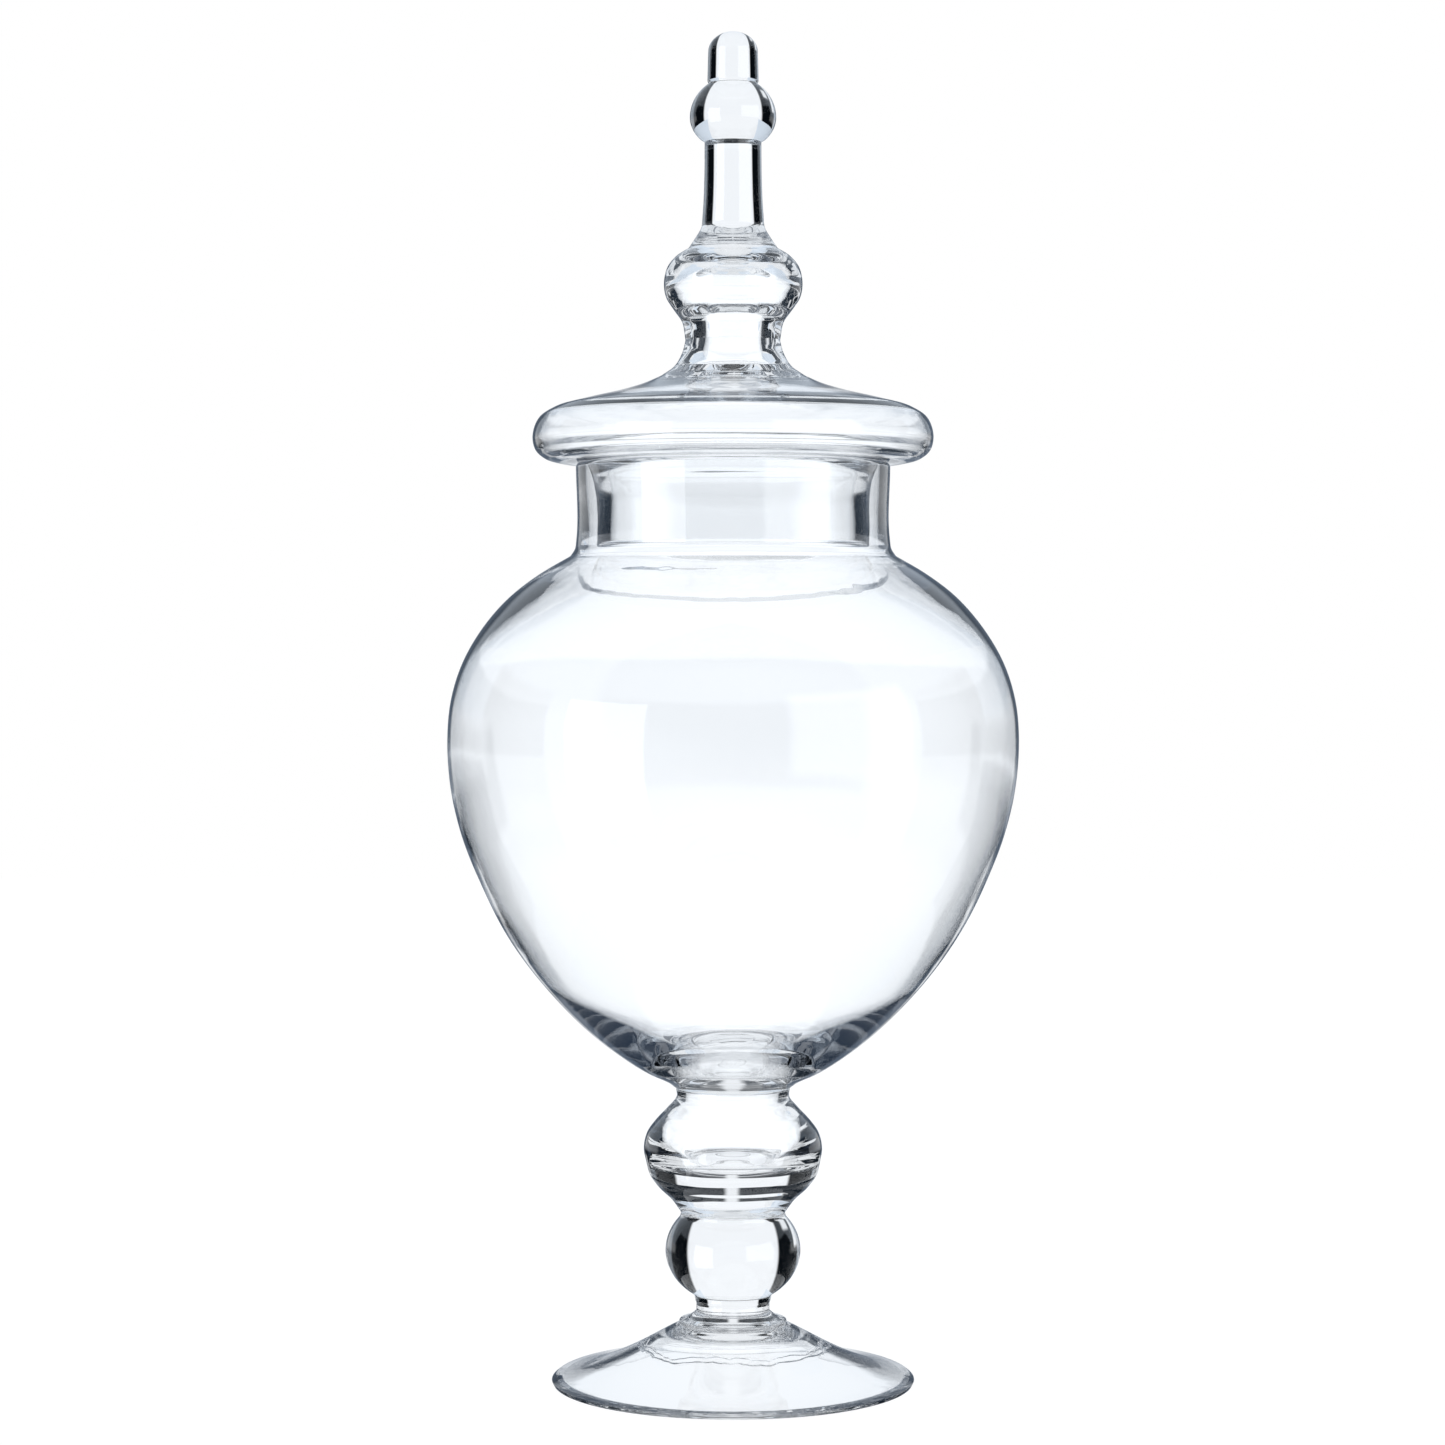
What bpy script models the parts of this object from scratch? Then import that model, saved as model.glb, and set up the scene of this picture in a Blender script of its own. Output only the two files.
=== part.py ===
"""Footed glass apothecary jar with a lift-off lid.

The jar stands on the plane z = 0 with its axis on +Z. Every piece is a gather of glass turned
round that axis: its half-section, in (radius, height) pairs, is swept by a Screw modifier.
All lengths are in metres.
"""

import math

import bpy

# Driving dimensions of the whole jar
FOOT_RADIUS = 0.0685
BELLY_RADIUS = 0.1073
BELLY_HEIGHT = 0.2410
NECK_RADIUS = 0.0590
MOUTH_HEIGHT = 0.3462
LID_RADIUS = 0.0752
LID_RIM_HEIGHT = 0.3552
TOTAL_HEIGHT = 0.5080

# Heights at which neighbouring gathers meet
FOOT_TOP = 0.0216
COLLAR_TOP = 0.0264
STEM_NECK_TOP = 0.0315
BALL_TOP = 0.0642
KNOP_TOP = 0.1112
NECK_ROOT = 0.3114
DOME_TOP = 0.3790
WAIST_HEIGHT = 0.3925
KNOB_TOP = 0.4268
FINIAL_STEM_TOP = 0.4668
FINIAL_BALL_TOP = 0.4894

# Gap left between touching pieces
GAP = 0.0003

# Fineness of the turned surfaces
SEGMENTS = 36
MERGE_DISTANCE = 0.00001

# Foot
FOOT_EDGE = 0.0008
FOOT_EDGE_HEIGHT = 0.0016
TREAD_INNER_RADIUS = 0.0636
FOOT_WAIST_RADIUS = 0.0219

# Stem
COLLAR_RADIUS = 0.0203
STEM_NECK_RADIUS = 0.0138
BALL_RADIUS = 0.0255
BALL_HALF_HEIGHT = 0.0204
BALL_CENTRE = 0.0500
BALL_TOP_RADIUS = 0.0196
STEM_LIP_RADIUS = 0.0144

# Hollow knop under the bowl
KNOP_RADIUS = 0.0335
KNOP_MOUTH_RADIUS = 0.0215
KNOP_BORE_RADIUS = 0.0178
KNOP_CAVITY_RADIUS = 0.0276
KNOP_CAVITY_FLOOR = 0.0812

# Bowl: wall thickness against height, from the base up to the neck
BOWL_WALLS = [(0.116, 0.0056), (0.150, 0.0018), (0.200, 0.0012), (0.270, 0.0012),
              (NECK_ROOT, 0.0037)]
BOWL_FLOOR = 0.1208
BOWL_FLOOR_RADIUS = 0.0240

# Neck
NECK_FOOT = 0.3168
NECK_ROOT_RADIUS = 0.0611
NECK_ROOT_BORE = 0.0573
NECK_BORE = 0.0551
RIM_ROUND = 0.0008

# Lid
LID_WALL = 0.0020
PLUG_TOP_RADIUS = 0.0545
PLUG_RADIUS = 0.0514
PLUG_WALL = 0.0050
PLUG_BOTTOM = 0.3152
LID_BORE_RADIUS = 0.0104
LID_JOIN_RADIUS = 0.0272
KNOB_RADIUS = 0.0260
KNOB_CAVITY_RADIUS = 0.0218
KNOB_TOP_RADIUS = 0.0172
WAIST_RADIUS = 0.0178

# Finial
FINIAL_STEM_RADIUS = 0.0108
FINIAL_BALL_RADIUS = 0.0162
FINIAL_BALL_CENTRE = 0.4759
FINIAL_BALL_RISE = 0.0152
FINIAL_BALL_DROP = 0.0124
FINIAL_JOIN_RADIUS = 0.0106
TIP_RADIUS = 0.0096
TIP_DOME_HEIGHT = 0.0076


def clear_scene():
    for thing in list(bpy.data.objects):
        bpy.data.objects.remove(thing, do_unlink=True)


def new_collection(name):
    group = bpy.data.collections.new(name)
    bpy.context.scene.collection.children.link(group)
    return group


def new_empty(name, height, group):
    """The frame of one rigid body, on the jar's axis."""
    frame = bpy.data.objects.new(name, None)
    frame.location = (0.0, 0.0, height)
    group.objects.link(frame)
    return frame


def glass(name, colour, roughness):
    """Clear soda-lime glass with a faint tint of its own."""
    material = bpy.data.materials.new(name)
    material.use_nodes = True
    shader = material.node_tree.nodes["Principled BSDF"]
    shader.inputs["Base Color"].default_value = (*colour, 1.0)
    shader.inputs["Roughness"].default_value = roughness
    shader.inputs["Metallic"].default_value = 0.0
    shader.inputs["IOR"].default_value = 1.5
    shader.inputs["Transmission Weight"].default_value = 1.0
    return material


def smooth(points, steps):
    """Cubic curve through the points, with `steps` pieces from each point to the next."""
    spans = [math.dist(a, b) for a, b in zip(points, points[1:])]
    slopes = [((b[0] - a[0]) / span, (b[1] - a[1]) / span)
              for a, b, span in zip(points, points[1:], spans)]
    tangents = [slopes[0]]
    for i in range(1, len(points) - 1):
        share = spans[i - 1] / (spans[i - 1] + spans[i])
        tangents.append(tuple(u + (v - u) * share for u, v in zip(slopes[i - 1], slopes[i])))
    tangents.append(slopes[-1])
    curve = [points[0]]
    for i, span in enumerate(spans):
        for step in range(1, steps + 1):
            curve.append(hermite(points[i], points[i + 1], tangents[i], tangents[i + 1],
                                 span, step / steps))
    return curve


def hermite(start, end, leave, arrive, span, t):
    """Point at share t of a cubic that leaves start and arrives at end in given directions."""
    a = 2 * t**3 - 3 * t**2 + 1
    b = (t**3 - 2 * t**2 + t) * span
    c = 3 * t**2 - 2 * t**3
    d = (t**3 - t**2) * span
    return tuple(a * s + b * u + c * e + d * v for s, u, e, v in zip(start, leave, end, arrive))


def ellipse(centre, half_width, half_height, start, end, steps):
    """Points on an ellipse centred on the axis, between two angles in degrees above level."""
    angles = [math.radians(start + (end - start) * i / steps) for i in range(steps + 1)]
    return [(half_width * math.cos(a), centre + half_height * math.sin(a)) for a in angles]


def blend(table, height):
    """Value at a height, eased from row to row of a (height, value) table, level beyond its ends."""
    for (low, first), (high, second) in zip(table, table[1:]):
        if height < high:
            share = max(0.0, (height - low) / (high - low))
            return first + (second - first) * share * share * (3 - 2 * share)
    return table[-1][1]


def inset(outline, wall):
    """The outline moved inwards along its normal by wall(height)."""
    moved = []
    for i, (radius, height) in enumerate(outline):
        before = outline[max(i - 1, 0)]
        after = outline[min(i + 1, len(outline) - 1)]
        run = (after[0] - before[0], after[1] - before[1])
        length = math.hypot(*run)
        depth = wall(height)
        moved.append((radius + depth * run[1] / length, height - depth * run[0] / length))
    return moved


def turned(name, section, material, body, group, closed=False):
    """A solid of revolution: the section runs down its outer side, then back up inside."""
    base = body.location.z
    count = len(section)
    edges = [(i, i + 1) for i in range(count - 1)]
    if closed:
        edges.append((count - 1, 0))
    mesh = bpy.data.meshes.new(name)
    mesh.from_pydata([(radius, 0.0, height - base) for radius, height in section], edges, [])
    mesh.materials.append(material)
    piece = bpy.data.objects.new(name, mesh)
    group.objects.link(piece)
    piece.parent = body
    screw = piece.modifiers.new("turn", "SCREW")
    screw.axis = "Z"
    screw.angle = math.tau
    screw.steps = SEGMENTS
    screw.render_steps = SEGMENTS
    screw.use_merge_vertices = True
    screw.merge_threshold = MERGE_DISTANCE
    screw.use_smooth_shade = True
    return piece


def foot_section():
    """Spun disc, concave below, that stands on a narrow ring at its edge."""
    top = [(FOOT_WAIST_RADIUS, FOOT_TOP), (0.0290, 0.0178), (0.0359, 0.0140), (0.0457, 0.0092),
           (0.0588, 0.0045), (FOOT_RADIUS - 0.0015, 0.0028)]
    edge = [(FOOT_RADIUS, FOOT_EDGE_HEIGHT), (FOOT_RADIUS - FOOT_EDGE, 0.0)]
    underside = [(TREAD_INNER_RADIUS, 0.0), (0.0577, 0.0012), (0.0443, 0.0059), (0.0343, 0.0108),
                 (0.0275, 0.0146), (0.0208, 0.0172), (0.0120, 0.0180), (0.0, 0.0184)]
    return [(0.0, FOOT_TOP), *smooth(top, 2), *edge, *smooth(underside, 2)]


def foot_collar_section():
    """Low ring of glass that seats the stem on the foot."""
    low = FOOT_TOP + GAP
    side = [(0.0146, COLLAR_TOP), (0.0167, 0.0247), (COLLAR_RADIUS, 0.0232), (0.0196, low)]
    return [(0.0, COLLAR_TOP), *smooth(side, 2), (0.0, low)]


def stem_neck_section():
    """Short solid drum between the collar and the ball."""
    low = COLLAR_TOP + GAP
    side = [(STEM_LIP_RADIUS, STEM_NECK_TOP), (STEM_NECK_RADIUS, 0.0300), (STEM_NECK_RADIUS, low)]
    return [(0.0, STEM_NECK_TOP), *side, (0.0, low)]


def stem_ball_section():
    """Solid ball, a little wider than it is high, flat where it meets its neighbours."""
    low = STEM_NECK_TOP + GAP
    side = ellipse(BALL_CENTRE, BALL_RADIUS, BALL_HALF_HEIGHT, 38.0, -55.0, 9)
    return [(0.0, BALL_TOP), (BALL_TOP_RADIUS, BALL_TOP), *side, (STEM_LIP_RADIUS, low), (0.0, low)]


def hollow_knop_section():
    """Knop with a thick base, blown hollow; the bowl's base closes it."""
    low = BALL_TOP + GAP
    side = [(KNOP_MOUTH_RADIUS, KNOP_TOP), (0.0212, 0.1084), (0.0249, 0.1035), (0.0291, 0.0990),
            (0.0322, 0.0945), (KNOP_RADIUS, 0.0884), (0.0326, 0.0832), (0.0314, 0.0786),
            (0.0283, 0.0741), (0.0232, 0.0692), (0.0197, low)]
    cavity = [(0.0, KNOP_CAVITY_FLOOR), (0.0150, KNOP_CAVITY_FLOOR + 0.0006), (0.0240, 0.0848),
              (KNOP_CAVITY_RADIUS, 0.0915), (0.0256, 0.0985), (0.0200, 0.1045),
              (KNOP_BORE_RADIUS, 0.1080), (KNOP_BORE_RADIUS, KNOP_TOP)]
    return [*smooth(cavity, 1), *smooth(side, 1), (0.0, low)]


def bowl_outline():
    """Outer side of the bowl, from the root of the neck down to the base."""
    return smooth([(NECK_ROOT_RADIUS, NECK_ROOT), (0.0725, 0.3047), (0.0842, 0.2957),
                   (0.0940, 0.2844), (0.1017, 0.2709), (0.1059, 0.2575),
                   (BELLY_RADIUS, BELLY_HEIGHT), (0.1062, 0.2260), (0.1023, 0.2080),
                   (0.0954, 0.1900), (0.0865, 0.1719), (0.0758, 0.1560), (0.0618, 0.1400),
                   (0.0462, 0.1263), (0.0326, 0.1172), (0.0236, 0.1128)], 1)


def bowl_section():
    """Blown bowl up to the root of its neck: thin at the belly, thick in the base."""
    low = KNOP_TOP + GAP
    outline = bowl_outline()
    wall = inset(outline, lambda height: blend(BOWL_WALLS, height))
    floor = [(0.0, BOWL_FLOOR), (0.0160, BOWL_FLOOR + 0.0003)]
    inside = [point for point in reversed(wall[1:]) if point[0] > BOWL_FLOOR_RADIUS]
    return [*floor, *inside, (NECK_ROOT_BORE, NECK_ROOT), *outline, (KNOP_MOUTH_RADIUS, low),
            (0.0, low)]


def neck_section():
    """Straight neck with a fire-polished rim, flared where it grows out of the bowl."""
    low = NECK_ROOT + GAP
    rim = [(NECK_BORE, MOUTH_HEIGHT - RIM_ROUND), (NECK_BORE + RIM_ROUND, MOUTH_HEIGHT),
           (NECK_RADIUS - RIM_ROUND, MOUTH_HEIGHT), (NECK_RADIUS, MOUTH_HEIGHT - RIM_ROUND)]
    return [*rim, (NECK_RADIUS, NECK_FOOT), (NECK_ROOT_RADIUS, low), (NECK_ROOT_BORE, low),
            (NECK_BORE, NECK_FOOT)]


def lid_dome_section():
    """Blown dome with a hollow bulged rim and the plug that centres it in the neck."""
    underside = MOUTH_HEIGHT + GAP
    top = smooth([(LID_JOIN_RADIUS, DOME_TOP), (0.0330, 0.3764), (0.0414, 0.3737),
                  (0.0577, 0.3697), (0.0678, 0.3667), (0.0728, 0.3632), (0.0748, 0.3590),
                  (LID_RADIUS, LID_RIM_HEIGHT), (0.0740, 0.3510), (0.0705, 0.3480),
                  (0.0650, underside)], 1)
    plug = [(PLUG_TOP_RADIUS + 0.0011, underside), (PLUG_TOP_RADIUS, 0.3450), (0.0524, 0.3400),
            (PLUG_RADIUS, 0.3350), (PLUG_RADIUS, PLUG_BOTTOM)]
    bore = PLUG_RADIUS - PLUG_WALL
    inner_plug = [(bore, PLUG_BOTTOM), (bore, 0.3370), (0.0485, 0.3440), (0.0540, 0.3482)]
    hollow = smooth([(0.0540, 0.3482), (0.0650, 0.3487), (0.0712, 0.3512),
                     (LID_RADIUS - LID_WALL, LID_RIM_HEIGHT), (0.0726, 0.3594), (0.0706, 0.3629),
                     (0.0660, 0.3654), (0.0565, 0.3679), (0.0405, 0.3718), (0.0305, 0.3745),
                     (0.0210, 0.3762), (0.0150, DOME_TOP)], 1)
    return [*top, *plug, *inner_plug[:-1], *hollow]


def lid_waist_section():
    """Hollow waist, spread at its foot onto the dome and drawn in under the knob."""
    low = DOME_TOP + GAP
    outside = [(WAIST_RADIUS, WAIST_HEIGHT), (0.0190, 0.3880), (0.0218, 0.3830),
               (LID_JOIN_RADIUS, low)]
    bore = [(0.0150, low), (0.0112, 0.3860), (LID_BORE_RADIUS, WAIST_HEIGHT)]
    return [*outside, *bore]


def lid_knob_section():
    """Hollow knob, open below into the waist."""
    low = WAIST_HEIGHT + GAP
    outside = smooth([(KNOB_TOP_RADIUS, KNOB_TOP), (0.0213, 0.4240), (0.0245, 0.4203),
                      (KNOB_RADIUS, 0.4150), (0.0252, 0.4085), (0.0225, 0.4042),
                      (0.0192, 0.3995), (WAIST_RADIUS, low)], 1)
    cavity = smooth([(LID_BORE_RADIUS, low), (0.0118, 0.4020), (0.0185, 0.4065),
                     (KNOB_CAVITY_RADIUS, 0.4125), (0.0185, 0.4185), (0.0100, 0.4212),
                     (0.0, 0.4216)], 1)
    return [(0.0, KNOB_TOP), *outside, *cavity]


def finial_stem_section():
    """Solid rod, pressed out at its foot onto the knob."""
    low = KNOB_TOP + GAP
    side = smooth([(FINIAL_JOIN_RADIUS, FINIAL_STEM_TOP), (FINIAL_STEM_RADIUS, 0.4520),
                   (0.0114, 0.4400), (0.0120, 0.4345), (0.0140, 0.4310), (0.0168, low)], 1)
    return [(0.0, FINIAL_STEM_TOP), *side, (0.0, low)]


def finial_ball_section():
    """Solid ball on the rod."""
    low = FINIAL_STEM_TOP + GAP
    upper = ellipse(FINIAL_BALL_CENTRE, FINIAL_BALL_RADIUS, FINIAL_BALL_RISE, 56.0, 0.0, 5)
    lower = ellipse(FINIAL_BALL_CENTRE, FINIAL_BALL_RADIUS, FINIAL_BALL_DROP, 0.0, -40.0, 4)
    return [(0.0, FINIAL_BALL_TOP), (TIP_RADIUS, FINIAL_BALL_TOP), *upper[:-1], *lower,
            (FINIAL_JOIN_RADIUS, low), (0.0, low)]


def finial_tip_section():
    """Solid round-ended tip."""
    low = FINIAL_BALL_TOP + GAP
    shoulder = TOTAL_HEIGHT - TIP_DOME_HEIGHT
    dome = ellipse(shoulder, TIP_RADIUS - 0.0003, TIP_DOME_HEIGHT, 90.0, 0.0, 5)
    return [(0.0, TOTAL_HEIGHT), *dome[1:], (TIP_RADIUS, low), (0.0, low)]


def build():
    clear_scene()
    group = new_collection("apothecary_jar")
    jar = new_empty("jar", 0.0, group)
    lid = new_empty("lid", MOUTH_HEIGHT, group)

    blown = ((0.93, 0.95, 0.97), 0.02)
    solid = ((0.96, 0.97, 0.98), 0.01)

    pieces = [
        ("foot", foot_section(), blown, jar),
        ("foot_collar", foot_collar_section(), solid, jar),
        ("stem_neck", stem_neck_section(), solid, jar),
        ("stem_ball", stem_ball_section(), solid, jar),
        ("hollow_knop", hollow_knop_section(), blown, jar),
        ("bowl", bowl_section(), blown, jar),
        ("lid_knob", lid_knob_section(), blown, lid),
        ("finial_stem", finial_stem_section(), solid, lid),
        ("finial_ball", finial_ball_section(), solid, lid),
        ("finial_tip", finial_tip_section(), solid, lid),
    ]
    rings = [
        ("neck", neck_section(), blown, jar),
        ("lid_dome", lid_dome_section(), blown, lid),
        ("lid_waist", lid_waist_section(), blown, lid),
    ]
    for name, section, (colour, roughness), body in pieces:
        turned(name, section, glass(name + "_glass", colour, roughness), body, group)
    for name, section, (colour, roughness), body in rings:
        turned(name, section, glass(name + "_glass", colour, roughness), body, group, closed=True)


build()
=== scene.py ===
"""Looks of the footed glass apothecary jar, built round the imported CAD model.

The glass of the jar is one closed skin turned round the axis, and so is the glass of the lid. Each
skin is cut into pieces where one gather of glass is joined to the next, so that light passes from
piece to piece as it does in fused glass. Lengths are in metres and angles in degrees.
"""

import math

import bpy
import numpy as np
from mathutils import Euler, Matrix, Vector, noise


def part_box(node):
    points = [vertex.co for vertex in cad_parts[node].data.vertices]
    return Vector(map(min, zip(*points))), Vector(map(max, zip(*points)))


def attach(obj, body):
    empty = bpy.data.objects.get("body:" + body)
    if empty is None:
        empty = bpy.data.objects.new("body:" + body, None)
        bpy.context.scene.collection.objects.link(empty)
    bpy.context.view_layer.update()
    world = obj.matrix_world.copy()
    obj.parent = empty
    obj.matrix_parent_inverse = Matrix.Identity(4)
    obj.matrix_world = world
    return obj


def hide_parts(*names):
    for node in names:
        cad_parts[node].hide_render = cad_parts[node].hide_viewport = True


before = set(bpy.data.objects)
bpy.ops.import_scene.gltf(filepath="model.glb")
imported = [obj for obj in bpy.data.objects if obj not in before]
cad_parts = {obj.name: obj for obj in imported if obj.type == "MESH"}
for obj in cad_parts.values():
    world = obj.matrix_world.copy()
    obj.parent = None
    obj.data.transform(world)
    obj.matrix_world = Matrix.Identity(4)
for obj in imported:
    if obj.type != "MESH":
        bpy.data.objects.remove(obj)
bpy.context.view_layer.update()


def reach(node):
    """Largest radius of a turned CAD node."""
    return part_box(node)[1].x


def top(node):
    """Height of the top of a CAD node."""
    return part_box(node)[1].z


# Sizes taken from the frame
FOOT_RADIUS = reach("foot")
KNOP_RADIUS = reach("hollow_knop")
BALL_RADIUS = reach("stem_ball")
COLLAR_RADIUS = reach("foot_collar")
BELLY_RADIUS = reach("bowl")
NECK_ROOT_RADIUS = reach("neck")
LID_RADIUS = reach("lid_dome")
KNOB_RADIUS = reach("lid_knob")
FINIAL_BALL_RADIUS = reach("finial_ball")
TIP_RADIUS = reach("finial_tip")
FOOT_TOP = top("foot")
COLLAR_TOP = top("foot_collar")
STEM_NECK_TOP = top("stem_neck")
BALL_TOP = top("stem_ball")
KNOP_TOP = top("hollow_knop")
NECK_ROOT = top("bowl")
MOUTH_HEIGHT = top("neck")
DOME_TOP = top("lid_dome")
WAIST_HEIGHT = top("lid_waist")
KNOB_TOP = top("lid_knob")
FINIAL_STEM_TOP = top("finial_stem")
FINIAL_BALL_TOP = top("finial_ball")
TOTAL_HEIGHT = top("finial_tip")
PLUG_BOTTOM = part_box("lid_dome")[0].z

# Fineness of the skins
SAMPLE_PITCH = 0.00025
POLISH_REACH = 0.0005
ROW_TURN = 4.0
ROW_LONGEST = 0.0030
SEGMENTS = 144

# Camera: where the photographer's eye was, and how it was aimed
EYE_DISTANCE = 1.3359
EYE_HEIGHT = 0.2743
AIM_DOWN = 1.0893
AIM_LEFT = 0.1695
LENS = 88.44
SENSOR = 36.0


# ---------------------------------------------------------------- outlines

def smooth(points):
    """Cubic curve through the points, sampled finely."""
    spans = [math.dist(a, b) for a, b in zip(points, points[1:])]
    slopes = [((b[0] - a[0]) / span, (b[1] - a[1]) / span)
              for a, b, span in zip(points, points[1:], spans)]
    tangents = [slopes[0]]
    for i in range(1, len(points) - 1):
        share = spans[i - 1] / (spans[i - 1] + spans[i])
        tangents.append(tuple(u + (v - u) * share for u, v in zip(slopes[i - 1], slopes[i])))
    tangents.append(slopes[-1])
    curve = [points[0]]
    for i, span in enumerate(spans):
        steps = max(1, math.ceil(span / SAMPLE_PITCH))
        for step in range(1, steps + 1):
            curve.append(hermite(points[i], points[i + 1], tangents[i], tangents[i + 1],
                                 span, step / steps))
    return curve


def hermite(start, end, leave, arrive, span, t):
    """Point at share t of a cubic that leaves start and arrives at end in given directions."""
    a = 2 * t**3 - 3 * t**2 + 1
    b = (t**3 - 2 * t**2 + t) * span
    c = 3 * t**2 - 2 * t**3
    d = (t**3 - t**2) * span
    return tuple(a * s + b * u + c * e + d * v for s, u, e, v in zip(start, leave, end, arrive))


def straight(*points):
    """Straight runs between the points, sampled finely."""
    line = [points[0]]
    for a, b in zip(points, points[1:]):
        steps = max(1, math.ceil(math.dist(a, b) / SAMPLE_PITCH))
        line += [tuple(u + (v - u) * i / steps for u, v in zip(a, b)) for i in range(1, steps + 1)]
    return line


def ellipse(centre, half_width, half_height, start, end):
    """Part of an ellipse centred on the axis, between two angles above level."""
    steps = math.ceil(math.radians(abs(end - start)) * half_width / SAMPLE_PITCH)
    angles = [math.radians(start + (end - start) * i / steps) for i in range(steps + 1)]
    return [(half_width * math.cos(a), centre + half_height * math.sin(a)) for a in angles]


def blend(table, height):
    """Value at a height, eased from row to row of a (height, value) table, level beyond its ends."""
    for (low, first), (high, second) in zip(table, table[1:]):
        if height < high:
            share = max(0.0, (height - low) / (high - low))
            return first + (second - first) * share * share * (3 - 2 * share)
    return table[-1][1]


def inset(outline, wall):
    """The outline moved inwards along its normal by wall(height)."""
    moved = []
    for i, (radius, height) in enumerate(outline):
        before = outline[max(i - 1, 0)]
        after = outline[min(i + 1, len(outline) - 1)]
        run = (after[0] - before[0], after[1] - before[1])
        length = math.hypot(*run)
        depth = wall(height)
        moved.append((radius - depth * run[1] / length, height + depth * run[0] / length))
    return moved


# ---------------------------------------------------------------- the jar's glass, from its foot up

FOOT_WAIST_RADIUS = 0.0219
TREAD_INNER_RADIUS = 0.0636
FOOT_EDGE_HEIGHT = 0.0016
STEM_NECK_RADIUS = 0.0138
STEM_LIP_RADIUS = 0.0144
BALL_CENTRE = 0.0500
BALL_HALF_HEIGHT = 0.0204
BALL_TOP_RADIUS = 0.0196
KNOP_MOUTH_RADIUS = 0.0215
KNOP_CAVITY_RADIUS = 0.0276
KNOP_CAVITY_FLOOR = 0.0812
KNOP_BORE_RADIUS = 0.0178
BOWL_WALLS = [(0.116, 0.0056), (0.150, 0.0018), (0.200, 0.0012), (0.270, 0.0012),
              (NECK_ROOT, 0.0037)]
BOWL_FLOOR = 0.1208
BOWL_FLOOR_RADIUS = 0.0240
BOWL_UNDERSIDE = KNOP_TOP + 0.0010
NECK_RADIUS = 0.0590
NECK_FOOT = 0.3168
NECK_BORE = 0.0551
NECK_RIM = 0.0012


def foot_outline():
    """From the middle of the underside, round the edge and up to the collar."""
    underside = smooth([(0.0, 0.0184), (0.0120, 0.0180), (0.0208, 0.0172), (0.0275, 0.0146),
                        (0.0343, 0.0108), (0.0443, 0.0059), (0.0577, 0.0012),
                        (TREAD_INNER_RADIUS, 0.0)])
    edge = straight((TREAD_INNER_RADIUS, 0.0), (FOOT_RADIUS - 0.0008, 0.0),
                    (FOOT_RADIUS, FOOT_EDGE_HEIGHT), (FOOT_RADIUS - 0.0015, 0.0028))
    upper = smooth([(FOOT_RADIUS - 0.0015, 0.0028), (0.0588, 0.0045), (0.0457, 0.0092),
                    (0.0359, 0.0140), (0.0290, 0.0178), (FOOT_WAIST_RADIUS, FOOT_TOP)])
    return underside + edge + upper


def collar_outline():
    """Low collar that seats the stem."""
    return smooth([(FOOT_WAIST_RADIUS, FOOT_TOP), (0.0200, 0.0224), (COLLAR_RADIUS, 0.0232),
                   (0.0167, 0.0247), (0.0146, COLLAR_TOP)])


def stem_neck_outline():
    """Short drum under the ball, with its lip."""
    return straight((0.0146, COLLAR_TOP), (STEM_NECK_RADIUS, COLLAR_TOP + 0.0006),
                    (STEM_NECK_RADIUS, 0.0300), (STEM_LIP_RADIUS, STEM_NECK_TOP))


def ball_outline():
    """Solid ball of the stem."""
    side = ellipse(BALL_CENTRE, BALL_RADIUS, BALL_HALF_HEIGHT, -55.0, 38.0)
    return [(STEM_LIP_RADIUS, STEM_NECK_TOP), *side, (BALL_TOP_RADIUS, BALL_TOP)]


def knop_outline():
    """Outside of the hollow knop."""
    return smooth([(BALL_TOP_RADIUS, BALL_TOP), (0.0232, 0.0692), (0.0283, 0.0741),
                   (0.0314, 0.0786), (0.0326, 0.0832), (KNOP_RADIUS, 0.0884), (0.0322, 0.0945),
                   (0.0291, 0.0990), (0.0249, 0.1035), (0.0212, 0.1084),
                   (KNOP_MOUTH_RADIUS, KNOP_TOP)])


def bowl_outline():
    """Outer side of the bowl, from the knop up to the root of the neck."""
    return smooth([(KNOP_MOUTH_RADIUS, KNOP_TOP), (0.0236, 0.1128), (0.0326, 0.1172),
                   (0.0462, 0.1263), (0.0618, 0.1400), (0.0758, 0.1560), (0.0865, 0.1719),
                   (0.0954, 0.1900), (0.1023, 0.2080), (0.1062, 0.2260), (BELLY_RADIUS, 0.2410),
                   (0.1059, 0.2575), (0.1017, 0.2709), (0.0940, 0.2844), (0.0842, 0.2957),
                   (0.0725, 0.3047), (NECK_ROOT_RADIUS, NECK_ROOT)])


def neck_outline():
    """Up the outside of the neck, over its rim and down its bore to the root."""
    outer = smooth([(NECK_ROOT_RADIUS, NECK_ROOT), (0.0593, 0.3145), (NECK_RADIUS, NECK_FOOT),
                    (NECK_RADIUS, MOUTH_HEIGHT - NECK_RIM)])
    rim = straight((NECK_RADIUS, MOUTH_HEIGHT - NECK_RIM),
                   (NECK_RADIUS - NECK_RIM / 2, MOUTH_HEIGHT),
                   (NECK_BORE + NECK_RIM / 2, MOUTH_HEIGHT), (NECK_BORE, MOUTH_HEIGHT - NECK_RIM))
    bore = smooth([(NECK_BORE, MOUTH_HEIGHT - NECK_RIM), (NECK_BORE, NECK_FOOT),
                   (0.0556, 0.3145), bowl_inside()[0]])
    return outer + rim + bore


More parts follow.
